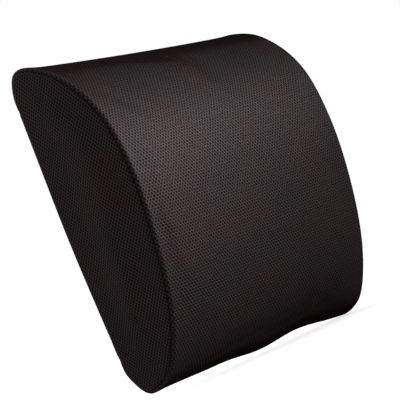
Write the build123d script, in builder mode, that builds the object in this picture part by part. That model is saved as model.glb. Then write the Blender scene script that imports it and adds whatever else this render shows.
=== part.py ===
from build123d import *

import math
import os

# Lumbar support cushion: a D-shaped foam block in a zipped mesh cover, with an
# elastic strap and a side-release buckle that hold it to a chair's backrest.
# Millimetres. +X runs across the width, -Y is the bulging front, +Z is up, and
# the origin lies in the middle of the flat back, which is the plane Y = 0.

# ---- Driving dimensions -------------------------------------------------
cushion_width = 330.0
cushion_height = 320.0
cushion_depth = 102.0

cover_thickness = 3.0        # air-mesh cloth
cover_edge_radius = 1.6      # rounding along the side panels' rims
liner_thickness = 0.6        # knitted sleeve round the foam
fit_gap = 0.4                # liner to cover, front, top and bottom
air_gap = 2.4                # liner to cover, back and sides

top_seam_drop = 30.0         # back panel's top seam, below the cushion's top
bottom_seam_rise = 42.0      # lower strip's seam, above the cushion's foot
thread = 0.6                 # sewing thread
thread_clearance = 0.1       # round a thread in the valley it draws in
thread_cover = 0.4           # from the cloth's face down to the thread

zipper_rise = 62.0           # middle of the chain, above the cushion's foot
zipper_gap = 14.0            # between the two folded edges of the cover
topstitch_inset = 3.0        # from a folded edge to its row of stitches
tape_thickness = 0.6
tape_width = 14.0
tape_split = 1.4             # between the tapes' inner edges
coil_width = 2.3
coil_height = 2.2
coil_rounding = 0.7          # along a coil's outer edges
chain_end_margin = 25.0      # from the chain's ends to the cushion's sides
stop_length = 2.6
stop_rim = 0.3               # a stop's size past its coil

slider_length = 12.0
slider_plate = 0.9
slider_wall = 1.0
slider_clearance = 0.3
slider_flare = 1.2           # extra half width at the slider's mouth
slider_post_width = 0.8
slider_post_length = 3.0
cap_width = 3.4
cap_length = 8.0
cap_height = 3.4
cap_wall = 0.9
pull_length = 24.0
pull_width = 7.4
pull_thickness = 1.4
pull_end_radius = 3.0
pull_clearance = 0.3

strap_width = 25.0
strap_thickness = 1.5
strap_rise = 160.0           # middle of the strap, above the cushion's foot
strap_anchor_length = 11.0   # sewn end, inside the side seam
strap_corner_radius = 5.0    # where it turns out of the side seam
strap_exit_angle = 30.0      # from the back's plane, as it leaves the corner
strap_first_run = 14.0
strap_bow_radius = 70.0
strap_bow_angle = 8.0        # from the back's plane, after the bow
strap_flat_radius = 300.0
notch_length = 8.0           # strap's way out, in the back panel's ends
notch_clearance = 0.8
fold_length = 26.0           # strap sewn back on itself beside the buckle
fold_opening = 9.0           # from the buckle's bar to where the fold closes
fold_gap = 0.1               # between the strap and its sewn return
fold_rounding = 2.6          # middle of the strap, round the bar
fold_easing = 6.0            # where the fold opens and closes
stitch_thickness = 0.4
stitch_box_length = 12.0
stitch_box_margin = 3.0

buckle_height = 10.4
buckle_rim = 3.0             # past the strap's edges
buckle_wall = 1.8            # socket's two faces
buckle_side_wall = 1.9
buckle_edge_radius = 1.2
buckle_corner_radius = 4.0
bar_radius = 1.9
bar_clearance = 0.3          # between the webbing's fold and the bar
bar_reach = 29.0             # from the buckle's middle to either bar
arm_reach = 3.0              # buckle's arms, past the middle of the bar
slot_inner = 6.0             # from a bar's middle to the buckle's body
socket_mouth = 7.0           # right of the buckle's middle
cavity_end = 17.0            # left of the buckle's middle
window_start = 5.0           # side windows, left of the buckle's middle
window_end = 16.0
plug_clearance = 0.35
guide_width = 6.0
guide_half_height = 2.8
guide_end_radius = 2.4
guide_tip = 15.0             # left of the buckle's middle
prong_width = 3.4
prong_tip = 14.6             # left of the buckle's middle
prong_root = 10.6            # hinge line, right of the buckle's middle
prong_bump = 2.6             # shoulder's height beyond the arm
prong_ramp = 5.0             # length of the shoulder's sloped end
prong_wall = 0.3             # from a prong's end to its pocket
bump_corner = 0.8
prong_swing = 0.9            # room inside the arm for the press

# ---- Places that follow from the dimensions -----------------------------
half_width = cushion_width / 2
half_height = cushion_height / 2
inner_half_width = half_width - cover_thickness
liner_half_width = inner_half_width - air_gap
foam_half_width = liner_half_width - liner_thickness
liner_inset = cover_thickness + fit_gap
foam_inset = liner_inset + liner_thickness
liner_back = -cover_thickness - air_gap
foam_back = liner_back - liner_thickness
seam_top_z = half_height - top_seam_drop
seam_bottom_z = bottom_seam_rise - half_height
zipper_z = zipper_rise - half_height
zipper_upper_z = zipper_z + zipper_gap / 2
zipper_lower_z = zipper_z - zipper_gap / 2
valley_width = thread + 2 * thread_clearance
valley_depth = thread + thread_cover
chain_half = half_width - chain_end_margin
coil_half = chain_half - stop_length
tape_face = -cover_thickness
coil_face = tape_face + coil_height
coil_middle = (tape_split + coil_width) / 2
strap_z = strap_rise - half_height

# Corners of the side profile, as (share of the depth, share of half the
# height), from the top of the flat back, over the front, to its foot. Every
# corner is rounded as far as its two runs allow.
profile_corners = [
    (0.00, 0.89), (0.11, 1.00), (0.265, 1.00), (0.57, 0.89),
    (0.865, 0.665), (1.00, 0.375), (1.00, -0.02), (0.84, -0.57),
    (0.55, -0.92), (0.30, -1.00), (0.14, -1.00), (0.00, -0.84),
]
rounding_share = 0.48


def rounded_radii(points):
    """Rounding at each corner, from its shorter run and its turn."""
    radii = []
    for i, corner in enumerate(points):
        run_in = corner - points[i - 1]
        run_out = points[(i + 1) % len(points)] - corner
        turn = math.radians(run_in.get_angle(run_out))
        shorter = min(run_in.length, run_out.length)
        radii.append(rounding_share * shorter / math.tan(turn / 2))
    return radii


def write(part, name):
    """Label a finished piece and write it as its own node."""
    part.label = name
    export_step(part, "parts/" + name + ".step")


os.makedirs("parts", exist_ok=True)

# The D-shaped outline, drawn in (y, z) on a plane that faces +X.
corners = [Vector(-d * cushion_depth, h * half_height) for d, h in profile_corners]
with BuildLine() as profile:
    FilletPolyline(*corners, radius=rounded_radii(corners), close=True)
outline = profile.edges()

# ---- Foam and liner -----------------------------------------------------
with BuildPart() as foam_core:
    with BuildSketch(Plane.YZ.offset(-foam_half_width)):
        make_face(outline)
        offset(amount=-foam_inset)
    extrude(amount=2 * foam_half_width)
    split(bisect_by=Plane.XZ.offset(-foam_back), keep=Keep.TOP)
write(foam_core.part, "foam_core")

with BuildPart() as inner_liner:
    with BuildSketch(Plane.YZ.offset(-liner_half_width)):
        make_face(outline)
        offset(amount=-liner_inset)
    extrude(amount=2 * liner_half_width)
    split(bisect_by=Plane.XZ.offset(-liner_back), keep=Keep.TOP)
    add(foam_core.part, mode=Mode.SUBTRACT)
write(inner_liner.part, "inner_liner")

# ---- Cover --------------------------------------------------------------
# Valleys that the thread draws in: two seams and two rows of topstitching
# run straight across the back.
back_seams = [seam_top_z, seam_bottom_z]
topstitch_rows = [
    zipper_upper_z + topstitch_inset,
    zipper_lower_z - topstitch_inset,
]
with BuildPart() as back_valleys:
    for row in back_seams + topstitch_rows:
        with BuildSketch(Plane.XZ):
            with Locations((0, row)):
                Rectangle(2 * inner_half_width, valley_width)
    extrude(amount=valley_depth)

with BuildPart() as cover_front_panel:
    with BuildSketch(Plane.YZ.offset(-inner_half_width)):
        make_face(outline)
        offset(amount=-cover_thickness, mode=Mode.SUBTRACT)
    extrude(amount=2 * inner_half_width)
    with BuildSketch(Plane.XZ):
        with Locations((0, (seam_top_z + seam_bottom_z) / 2)):
            Rectangle(cushion_width, seam_top_z - seam_bottom_z)
    extrude(amount=cover_thickness, mode=Mode.SUBTRACT)
    add(back_valleys.part, mode=Mode.SUBTRACT)
write(cover_front_panel.part, "cover_front_panel")

with BuildPart() as cover_back_panel:
    with BuildSketch(Plane.XZ):
        with Locations((0, (seam_top_z + zipper_upper_z) / 2)):
            Rectangle(2 * inner_half_width, seam_top_z - zipper_upper_z)
        with Locations((-inner_half_width, strap_z), (inner_half_width, strap_z)):
            Rectangle(
                2 * notch_length,
                strap_width + 2 * notch_clearance,
                mode=Mode.SUBTRACT,
            )
    extrude(amount=cover_thickness)
    add(back_valleys.part, mode=Mode.SUBTRACT)
write(cover_back_panel.part, "cover_back_panel")

with BuildPart() as cover_lower_strip:
    with BuildSketch(Plane.XZ):
        with Locations((0, (zipper_lower_z + seam_bottom_z) / 2)):
            Rectangle(2 * inner_half_width, zipper_lower_z - seam_bottom_z)
    extrude(amount=cover_thickness)
    add(back_valleys.part, mode=Mode.SUBTRACT)
write(cover_lower_strip.part, "cover_lower_strip")

with BuildPart() as cover_left_panel:
    with BuildSketch(Plane.YZ.offset(-half_width)):
        make_face(outline)
    extrude(amount=cover_thickness)
    fillet(cover_left_panel.edges().group_by(Axis.X)[0], cover_edge_radius)
    with BuildSketch(Plane.YZ.offset(-inner_half_width)):
        make_face(outline)
        offset(amount=-valley_depth, mode=Mode.SUBTRACT)
    extrude(amount=-valley_width, mode=Mode.SUBTRACT)
write(cover_left_panel.part, "cover_left_panel")

with BuildPart() as cover_right_panel:
    mirror(cover_left_panel.part, about=Plane.YZ)
write(cover_right_panel.part, "cover_right_panel")

# ---- Sewing threads -----------------------------------------------------
with BuildPart() as left_seam_thread:
    with BuildSketch(Plane.YZ.offset(-inner_half_width - thread_clearance)):
        make_face(outline)
        offset(amount=-thread_cover)
        offset(amount=-thread, mode=Mode.SUBTRACT)
    extrude(amount=-thread)
write(left_seam_thread.part, "left_seam_thread")

with BuildPart() as right_seam_thread:
    mirror(left_seam_thread.part, about=Plane.YZ)
write(right_seam_thread.part, "right_seam_thread")

with BuildPart() as back_seam_threads:
    for row in back_seams:
        with BuildSketch(Plane.XZ.offset(thread_cover)):
            with Locations((0, row)):
                Rectangle(2 * inner_half_width, thread)
    extrude(amount=thread)
write(back_seam_threads.part, "back_seam_threads")

with BuildPart() as zipper_topstitching:
    for row in topstitch_rows:
        with BuildSketch(Plane.XZ.offset(thread_cover)):
            with Locations((0, row)):
                Rectangle(2 * inner_half_width, thread)
    extrude(amount=thread)
write(zipper_topstitching.part, "zipper_topstitching")

# ---- Zipper -------------------------------------------------------------
with BuildPart() as zipper_tape_upper:
    with BuildSketch(Plane.XZ.offset(-tape_face)):
        with Locations((0, zipper_z + (tape_split + tape_width) / 2)):
            Rectangle(2 * inner_half_width, tape_width)
    extrude(amount=tape_thickness)
write(zipper_tape_upper.part, "zipper_tape_upper")

with BuildPart() as zipper_coil_upper:
    with BuildSketch(Plane.XZ.offset(-tape_face)):
        with Locations((0, zipper_z + coil_middle)):
            Rectangle(2 * coil_half, coil_width)
    extrude(amount=-coil_height)
    long_edges = zipper_coil_upper.edges().filter_by(Axis.X).group_by(Axis.Y)[-1]
    fillet(long_edges, coil_rounding)
write(zipper_coil_upper.part, "zipper_coil_upper")

chain_plane = Plane.XY.offset(zipper_z)
with BuildPart() as zipper_tape_lower:
    mirror(zipper_tape_upper.part, about=chain_plane)
write(zipper_tape_lower.part, "zipper_tape_lower")

with BuildPart() as zipper_coil_lower:
    mirror(zipper_coil_upper.part, about=chain_plane)
write(zipper_coil_lower.part, "zipper_coil_lower")

stop_height = coil_height + stop_rim
with BuildPart() as zipper_top_stops:
    with BuildSketch(Plane.XZ.offset(-tape_face)):
        stop_x = coil_half + stop_length / 2
        with Locations((stop_x, zipper_z + coil_middle), (stop_x, zipper_z - coil_middle)):
            Rectangle(stop_length, coil_width)
    extrude(amount=-stop_height)
    fillet(zipper_top_stops.faces().filter_by(Axis.Y).group_by(Axis.Y)[-1].edges(), stop_rim)
write(zipper_top_stops.part, "zipper_top_stops")

with BuildPart() as zipper_bottom_stop:
    with BuildSketch(Plane.XZ.offset(-tape_face)):
        with Locations((-coil_half - stop_length / 2, zipper_z)):
            Rectangle(stop_length, tape_split + 2 * coil_width)
    extrude(amount=-stop_height)
    fillet(zipper_bottom_stop.faces().sort_by(Axis.Y)[-1].edges(), stop_rim)
write(zipper_bottom_stop.part, "zipper_bottom_stop")

# The slider wraps both coils, closed at the right end of the chain, with its
# flared mouth to the right.
slider_front = coil_half - slider_clearance
slider_back = slider_front - slider_length
coil_edge = tape_split / 2 + coil_width
slider_inner = coil_edge + slider_clearance
slider_outer = slider_inner + slider_wall
slider_ceiling = coil_face + slider_clearance
slider_top = slider_ceiling + slider_plate
slider_floor = tape_face - tape_thickness - slider_clearance
wall_foot = tape_face + slider_clearance
slider_plan = [
    (slider_back, zipper_z - slider_outer),
    ((slider_back + slider_front) / 2, zipper_z - slider_outer),
    (slider_front, zipper_z - slider_outer - slider_flare),
    (slider_front, zipper_z + slider_outer + slider_flare),
    ((slider_back + slider_front) / 2, zipper_z + slider_outer),
    (slider_back, zipper_z + slider_outer),
]
with BuildPart() as zipper_slider:
    with BuildSketch(Plane.XZ.offset(-slider_top)) as slider_outline:
        with BuildLine():
            Polyline(*slider_plan, close=True)
        make_face()
        fillet(slider_outline.vertices(), slider_wall)
    extrude(amount=slider_top - wall_foot)
    with BuildSketch(Plane.XZ.offset(-slider_floor)) as floor_outline:
        with BuildLine():
            Polyline(*slider_plan, close=True)
        make_face()
        fillet(floor_outline.vertices(), slider_wall)
    extrude(amount=slider_plate)
    with BuildSketch(Plane.XZ.offset(-slider_ceiling)):
        with Locations(((slider_back + slider_front) / 2, zipper_z)):
            Rectangle(2 * slider_length, 2 * slider_inner)
    extrude(amount=slider_ceiling - slider_floor, mode=Mode.SUBTRACT)
    with BuildSketch(Plane.XZ.offset(-slider_ceiling)):
        with Locations((slider_front - slider_wall - slider_post_length / 2, zipper_z)):
            Rectangle(slider_post_length, slider_post_width)
    extrude(amount=slider_ceiling - slider_floor)
write(zipper_slider.part, "zipper_slider")

cap_x = (slider_back + slider_front) / 2
with BuildPart() as slider_cap:
    with BuildSketch(Plane.XY.offset(zipper_z - cap_width / 2)) as arch:
        with BuildLine():
            foot_l = (cap_x - cap_length / 2, slider_top)
            foot_r = (cap_x + cap_length / 2, slider_top)
            top_l = (cap_x - cap_length / 2, slider_top + cap_height)
            top_r = (cap_x + cap_length / 2, slider_top + cap_height)
            Polyline(foot_l, top_l, top_r, foot_r, close=True)
        make_face()
        fillet(arch.vertices().group_by(Axis.Y)[-1], cap_height / 2)
        with Locations((cap_x, slider_top + (cap_height - cap_wall) / 2)):
            Rectangle(
                cap_length - 2 * cap_wall,
                cap_height - cap_wall,
                mode=Mode.SUBTRACT,
            )
    extrude(amount=cap_width)
write(slider_cap.part, "slider_cap")

# The pull lies flat to the left, its bar under the cap.
pull_axis_y = slider_top + pull_clearance + pull_thickness / 2
pull_window = math.hypot(cap_length / 2, slider_top + cap_height - pull_axis_y)
window_half = cap_width / 2 + pull_clearance
with BuildPart() as zipper_pull:
    with BuildSketch(Plane.XZ.offset(-pull_axis_y)) as pull_plan:
        with Locations((cap_x - pull_length / 2, zipper_z)):
            Rectangle(pull_length, pull_width)
        fillet(pull_plan.vertices().group_by(Axis.X)[0], pull_end_radius)
        with Locations((cap_x - (pull_window + pull_clearance) / 2, zipper_z)):
            Rectangle(
                pull_window + pull_clearance,
                2 * window_half,
                mode=Mode.SUBTRACT,
            )
    extrude(amount=pull_thickness / 2, both=True)
    with BuildSketch(Plane.XY.offset(zipper_z - pull_width / 2)):
        with Locations((cap_x, pull_axis_y)):
            Circle(pull_thickness / 2)
    extrude(amount=pull_width)
write(zipper_pull.part, "zipper_pull")

# ---- Strap --------------------------------------------------------------
# Out of the side seam, round the cover's edge, bowed off the back, then flat
# to the buckle's bar, round it and sewn back on itself.
fold_radius = bar_radius + bar_clearance + strap_thickness / 2
strap_start = (-inner_half_width + strap_thickness / 2, -cover_thickness - strap_anchor_length)
with BuildLine() as strap_route:
    seam_run = Line(strap_start, (strap_start[0], -cover_thickness))
    turn = JernArc(seam_run @ 1, (0, 1), strap_corner_radius, strap_exit_angle - 90)
    first_run = Line(turn @ 1, (turn @ 1) + (turn % 1) * strap_first_run)
    bow = JernArc(
        first_run @ 1, turn % 1, strap_bow_radius, strap_bow_angle - strap_exit_angle
    )
    flat_bow = JernArc(bow @ 1, bow % 1, strap_flat_radius, -strap_bow_angle)
    strap_y = (flat_bow @ 1).Y
    return_y = strap_y + strap_thickness + fold_gap
    bar_y = (strap_y + return_y) / 2
    loop_x = fold_radius - bar_reach
    FilletPolyline(
        flat_bow @ 1,
        (-bar_reach - fold_opening, strap_y),
        (-bar_reach - fold_radius, bar_y - fold_radius),
        (loop_x, bar_y - fold_radius),
        (loop_x, bar_y + fold_radius),
        (-bar_reach - fold_radius, bar_y + fold_radius),
        (-bar_reach - fold_opening, return_y),
        (-bar_reach - fold_length, return_y),
        radius=[
            fold_easing,
            fold_easing,
            fold_rounding,
            fold_rounding,
            fold_easing,
            fold_easing,
        ],
    )

with BuildPart() as strap_left:
    with BuildSketch(Plane.XY.offset(strap_z - strap_width / 2)):
        with BuildLine():
            offset(strap_route.wires()[0], amount=strap_thickness / 2, side=Side.BOTH)
        make_face()
    extrude(amount=strap_width)
write(strap_left.part, "strap_left")

with BuildPart() as strap_right:
    mirror(strap_left.part, about=Plane.YZ)
write(strap_right.part, "strap_right")

# A sewn box with its cross holds each return down, on the outer face.
box_x = -bar_reach - fold_length + stitch_box_length / 2 + thread
box_width = strap_width - 2 * stitch_box_margin
box_slope = math.degrees(math.atan2(box_width, stitch_box_length))
box_diagonal = math.hypot(box_width, stitch_box_length) - thread
with BuildPart() as strap_stitching_left:
    with BuildSketch(Plane.XZ.offset(-return_y - strap_thickness / 2)):
        with Locations((box_x, strap_z)):
            Rectangle(stitch_box_length, box_width)
            Rectangle(
                stitch_box_length - 2 * thread,
                box_width - 2 * thread,
                mode=Mode.SUBTRACT,
            )
            Rectangle(box_diagonal, thread, rotation=box_slope)
            Rectangle(box_diagonal, thread, rotation=-box_slope)
    extrude(amount=-stitch_thickness)
write(strap_stitching_left.part, "strap_stitching_left")

with BuildPart() as strap_stitching_right:
    mirror(strap_stitching_left.part, about=Plane.YZ)
write(strap_stitching_right.part, "strap_stitching_right")

# ---- Buckle -------------------------------------------------------------
buckle_plane = Plane.XZ.offset(-bar_y)       # middle of the buckle, faces -Y
buckle_half = strap_width / 2 + buckle_rim
cavity_half_height = buckle_height / 2 - buckle_wall
cavity_half = buckle_half - buckle_side_wall
body_end = -bar_reach + slot_inner
arm_end = -bar_reach - arm_reach
slot_width = strap_width + 2 * notch_clearance
bar_half_length = (buckle_half + slot_width / 2) / 2
prong_outer = cavity_half - plug_clearance
prong_inner = prong_outer - prong_width
prong_middle = (prong_outer + prong_inner) / 2
prong_half_height = cavity_half_height - plug_clearance
hook_x = -window_start - plug_clearance

with BuildPart() as buckle_socket:
    with BuildSketch(buckle_plane) as socket_plan:
        with Locations(((arm_end + socket_mouth) / 2, strap_z)):
            Rectangle(socket_mouth - arm_end, 2 * buckle_half)
        fillet(socket_plan.vertices().group_by(Axis.X)[0], buckle_corner_radius)
    extrude(amount=buckle_height / 2, both=True)
    fillet(buckle_socket.faces().filter_by(Axis.Y).edges(), buckle_edge_radius)
    # the way in for the plug, and the two windows that its prongs fill
    with BuildSketch(buckle_plane):
        with Locations(((socket_mouth - cavity_end) / 2, strap_z)):
            Rectangle(socket_mouth + cavity_end, 2 * cavity_half)
        with Locations((-(window_start + window_end) / 2, strap_z)):
            Rectangle(window_end - window_start, 4 * buckle_half)
    extrude(amount=cavity_half_height, both=True, mode=Mode.SUBTRACT)
    # the space for the webbing, with its bar put back
    with BuildSketch(buckle_plane):
        with Locations((body_end - buckle_half, strap_z)):
            Rectangle(2 * buckle_half, slot_width)
    extrude(amount=buckle_height, both=True, mode=Mode.SUBTRACT)
    with BuildSketch(Plane.XY.offset(strap_z)):
        with Locations((-bar_reach, bar_y)):
            Circle(bar_radius)
    extrude(amount=bar_half_length, both=True)
write(buckle_socket.part, "buckle_socket")

# The plug's frame meets the socket's mouth. Each prong turns in a round
# pocket in the frame, which opens towards the guide for the press.
frame_face = socket_mouth + plug_clearance
pocket_radius = prong_width / 2 + prong_wall
with BuildPart() as buckle_plug:
    with BuildSketch(buckle_plane) as plug_plan:
        with Locations(((frame_face - arm_end) / 2, strap_z)):
            Rectangle(-arm_end - frame_face, 2 * buckle_half)
        fillet(plug_plan.vertices().group_by(Axis.X)[-1], buckle_corner_radius)
    extrude(amount=buckle_height / 2, both=True)
    fillet(buckle_plug.faces().filter_by(Axis.Y).edges(), buckle_edge_radius)
    with BuildSketch(buckle_plane):
        with Locations((buckle_half - body_end, strap_z)):
            Rectangle(2 * buckle_half, slot_width)
    extrude(amount=buckle_height, both=True, mode=Mode.SUBTRACT)
    with BuildSketch(Plane.XY.offset(strap_z)):
        with Locations((bar_reach, bar_y)):
            Circle(bar_radius)
    extrude(amount=bar_half_length, both=True)
    with BuildSketch(buckle_plane):
        for side in (-1, 1):
            with Locations((prong_root, strap_z + side * prong_middle)):
                Circle(pocket_radius)
            with Locations(
                (
                    (prong_root + frame_face) / 2,
                    strap_z + side * (prong_middle - prong_swing / 2),
                )
            ):
                Rectangle(prong_root - frame_face, 2 * pocket_radius + prong_swing)
    extrude(amount=cavity_half_height, both=True, mode=Mode.SUBTRACT)
    with BuildSketch(buckle_plane) as guide_plan:
        with Locations(((prong_root - guide_tip) / 2, strap_z)):
            Rectangle(prong_root + guide_tip, guide_width)
        fillet(guide_plan.vertices().group_by(Axis.X)[0], guide_end_radius)
    extrude(amount=guide_half_height, both=True)
write(buckle_plug.part, "buckle_plug")

with BuildPart() as buckle_prong_upper:
    with BuildSketch(buckle_plane) as prong_plan:
        with BuildLine():
            Polyline(
                (prong_root, strap_z + prong_inner),
                (prong_root, strap_z + prong_outer),
                (hook_x, strap_z + prong_outer),
                (hook_x, strap_z + prong_outer + prong_bump),
                (prong_ramp - prong_tip, strap_z + prong_outer + prong_bump),
                (-prong_tip, strap_z + prong_outer),
                (-prong_tip, strap_z + prong_inner),
                close=True,
            )
        make_face()
        fillet(prong_plan.vertices().group_by(Axis.X)[0], bump_corner)
        with Locations((prong_root, strap_z + prong_middle)):
            Circle(prong_width / 2)
    extrude(amount=prong_half_height, both=True)
write(buckle_prong_upper.part, "buckle_prong_upper")

with BuildPart() as buckle_prong_lower:
    mirror(buckle_prong_upper.part, about=Plane.XY.offset(strap_z))
write(buckle_prong_lower.part, "buckle_prong_lower")
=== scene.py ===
import math

import bmesh
import bpy
import numpy as np
from mathutils import Matrix, Vector
from mathutils.kdtree import KDTree


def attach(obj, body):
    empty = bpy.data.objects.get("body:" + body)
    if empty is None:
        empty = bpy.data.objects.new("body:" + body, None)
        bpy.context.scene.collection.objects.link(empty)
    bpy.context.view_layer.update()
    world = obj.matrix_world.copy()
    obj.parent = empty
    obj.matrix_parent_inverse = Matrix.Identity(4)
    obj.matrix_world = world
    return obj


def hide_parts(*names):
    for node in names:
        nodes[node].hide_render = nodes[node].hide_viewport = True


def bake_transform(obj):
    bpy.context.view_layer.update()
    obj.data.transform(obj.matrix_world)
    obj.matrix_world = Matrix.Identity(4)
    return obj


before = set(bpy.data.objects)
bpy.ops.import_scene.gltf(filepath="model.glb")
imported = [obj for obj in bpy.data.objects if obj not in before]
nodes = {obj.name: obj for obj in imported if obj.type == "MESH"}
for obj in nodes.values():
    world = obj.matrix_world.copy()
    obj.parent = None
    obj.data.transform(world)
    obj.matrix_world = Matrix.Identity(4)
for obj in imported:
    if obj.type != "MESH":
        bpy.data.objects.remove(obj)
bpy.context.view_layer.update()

# A lumbar support cushion: a D-shaped foam block in a black air-mesh cover,
# with a zipper across the lower back and an elastic strap with a buckle.
# Metres, in the CAD frame: +X across the width, -Y is the bulging front, +Z up,
# and the flat back is the plane Y = 0.

# ---- Sizes, in metres ----------------------------------------------------
HALF_WIDTH = 0.165
HALF_HEIGHT = 0.160
DEPTH = 0.102
EDGE_RADIUS = 0.0075        # soft corner that both cloths turn round at a side seam
CLOTH_THICKNESS = 0.0009
FOLD_RADIUS = 0.0018        # of a folded edge beside the zipper
SEAM_TOP_Z = 0.130          # back panel's top seam
SEAM_BOTTOM_Z = -0.118      # lower strip's seam
ZIPPER_Z = -0.098
ZIPPER_UPPER_Z = -0.091     # folded edge of the back panel
ZIPPER_LOWER_Z = -0.105     # folded edge of the lower strip
TOPSTITCH_INSET = 0.003
VALLEY_DEPTH = 0.0022       # how far a seam is drawn in
VALLEY_REACH = 0.0042       # from the seam to where the cloth is level again
SIDE_TAPER = 0.050          # how much narrower the left half is at its front
RIGHT_TAPER = 0.030         # and the right half
FRONT_SADDLE = 0.036        # how much shallower the front is at mid-width
TOP_LEAN = 0.0068           # how far the top leans down to the right
TOP_DISH = 0.0016           # how far its middle is hollow
FOOT_LEAN = 0.0034          # how far the foot draws in to the right
END_DROP = 0.0006           # how far the top and foot draw in all over
FOOT_WAVE = 0.0022          # the foot's uneven hem, to the right of its middle
SIDE_BOW = 0.0018           # how far the sides bow out at mid-height
SHOULDER = 0.0024           # how much fuller the right shoulder is
CLOTH_STEP = 0.0023         # rows of a panel's mesh
FORM_STEP = 0.006           # rows of a closed form's mesh
LINER_INSET = 0.0048        # from the cover's face
FOAM_INSET = 0.0062
SEAM_PITCH = 0.0042         # from stitch to stitch
TOPSTITCH_PITCH = 0.0034
STRAP_STITCH_PITCH = 0.0027
STRAP_HALF_WIDTH = 0.0125
STRAP_THICKNESS = 0.0015
STRAP_Y = 0.01995           # middle of the strap where it lies flat
RETURN_Y = 0.02155          # its sewn return

# Side profile as control points (share of the depth, share of half the height),
# from the flat back over the top, the front and the foot.
PROFILE = [
    (0.00, 0.81), (0.00, 0.90), (0.09, 1.00), (0.265, 1.00), (0.57, 0.89),
    (0.865, 0.665), (1.00, 0.375), (1.00, -0.02), (0.84, -0.57),
    (0.55, -0.92), (0.30, -1.00), (0.14, -1.00), (0.00, -0.84), (0.00, -0.76),
]


# ---- Helpers -------------------------------------------------------------
def deselect():
    """Nothing selected, nothing active in edit mode."""
    if bpy.context.object and bpy.context.object.mode != "OBJECT":
        bpy.ops.object.mode_set(mode="OBJECT")
    bpy.ops.object.select_all(action="DESELECT")


def activate(piece):
    """Only this piece selected and active."""
    deselect()
    piece.select_set(True)
    bpy.context.view_layer.objects.active = piece


def apply_modifier(piece, kind, **settings):
    """Add a modifier with its settings and apply it."""
    activate(piece)
    modifier = piece.modifiers.new(kind.title(), kind)
    for name, value in settings.items():
        setattr(modifier, name, value)
    bpy.ops.object.modifier_apply(modifier=modifier.name)


def settle(piece):
    """Move the piece's place into its mesh, so that its object sits at the origin."""
    piece.data.transform(piece.matrix_world)
    piece.matrix_world = Matrix.Identity(4)
    return piece


def smooth(piece, degrees=40):
    """Shade round what is round and keep sharper edges crisp."""
    activate(piece)
    bpy.ops.object.shade_smooth_by_angle(angle=math.radians(degrees))


def outwards(piece):
    """Close doubled points and turn every face outwards."""
    mesh = bmesh.new()
    mesh.from_mesh(piece.data)
    bmesh.ops.remove_doubles(mesh, verts=mesh.verts, dist=1e-6)
    bmesh.ops.recalc_face_normals(mesh, faces=mesh.faces)
    mesh.to_mesh(piece.data)
    mesh.free()


def ease(value, low, high):
    """0 below low, 1 above high, smooth between them."""
    t = np.clip((value - low) / (high - low), 0, 1)
    return t * t * (3 - 2 * t)


# ---- The cushion's form --------------------------------------------------
def draw_profile():
    """The D-shaped side profile as a smooth closed line: points (y, z) in order."""
    curve = bpy.data.curves.new("side_profile", "CURVE")
    curve.dimensions = "3D"
    spline = curve.splines.new("NURBS")
    spline.points.add(len(PROFILE) - 1)
    for point, (d, h) in zip(spline.points, PROFILE):
        point.co = (0, -d * DEPTH, h * HALF_HEIGHT, 1)
    spline.use_cyclic_u = True
    spline.order_u = 3
    spline.resolution_u = 64
    drawn = bpy.data.objects.new("side_profile", curve)
    mesh = bpy.data.meshes.new_from_object(drawn)
    line = np.array([v.co[1:] for v in mesh.vertices])
    bpy.data.objects.remove(drawn)
    bpy.data.curves.remove(curve)
    bpy.data.meshes.remove(mesh)
    return line


class Side:
    """The side profile by its own length, from the back panel's top seam, over
    the top, the front and the foot, and up the flat back again."""

    def __init__(self):
        line = draw_profile()
        start = int(np.argmin(np.hypot(line[:, 0], line[:, 1] - SEAM_TOP_Z)))
        line = np.roll(line, -start, axis=0)
        if line[5, 1] < line[0, 1]:
            line = np.roll(line[::-1], 1, axis=0)
        line = np.vstack([[0, SEAM_TOP_Z], line[1:], [0, SEAM_TOP_Z]])
        steps = np.hypot(*np.diff(line, axis=0).T)
        self.along = np.concatenate([[0], np.cumsum(steps)])
        self.length = self.along[-1]
        self.line = line

    def at(self, a):
        a = np.mod(a, self.length)
        return np.stack([np.interp(a, self.along, self.line[:, i]) for i in (0, 1)], -1)

    def outward(self, a):
        """Unit normal in the (y, z) plane, away from the foam."""
        reach = 0.0015
        run = self.at(np.asarray(a) + reach) - self.at(np.asarray(a) - reach)
        run /= np.linalg.norm(run, axis=-1, keepdims=True)
        return np.stack([run[..., 1], -run[..., 0]], -1)

    def back_at(self, z):
        """Where, along the profile, the flat back is at height z."""
        return self.length - (SEAM_TOP_Z - z)


side = Side()
if side.outward(side.length * 0.5)[0] > 0:
    raise ValueError("the profile runs the wrong way round")


def soften(points):
    """The foam's real form: sides that draw in towards the front and bow at
    mid-height, a front a little hollow at mid-width, a fuller right shoulder,
    and a top and foot that lean to one side."""
    x, y, z = points.T
    depth = np.clip(-y / DEPTH, 0, 1)
    across = np.clip(x / HALF_WIDTH, -1, 1)
    reach = np.maximum(ease(-y, 0, 0.025), ease(abs(z), 0.120, 0.158))
    lean = np.where(
        z > 0,
        -TOP_LEAN * across + TOP_DISH * across**2 - END_DROP,
        -FOOT_LEAN * across - END_DROP,
    )
    wave = FOOT_WAVE * np.cos(2 * math.pi * across / 0.9) * ease(across, -0.5, 0.1)
    lean = np.where(z > 0, lean, lean - wave)
    bow = SIDE_BOW * np.cos(math.pi * z / HALF_HEIGHT) * across**5
    fuller = SHOULDER * ease(across, 0.1, 0.9) * ease(depth, 0.25, 0.6)
    fuller = fuller * ease(z, 0.03, 0.09)
    return np.stack(
        [
            x * (1 - np.where(x > 0, RIGHT_TAPER, SIDE_TAPER) * depth) + bow,
            y * (1 - FRONT_SADDLE * (1 - across**2)) - 0.6 * fuller,
            z + lean * reach * (z / HALF_HEIGHT) ** 2 + 0.8 * fuller,
        ],
        -1,
    )


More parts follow.
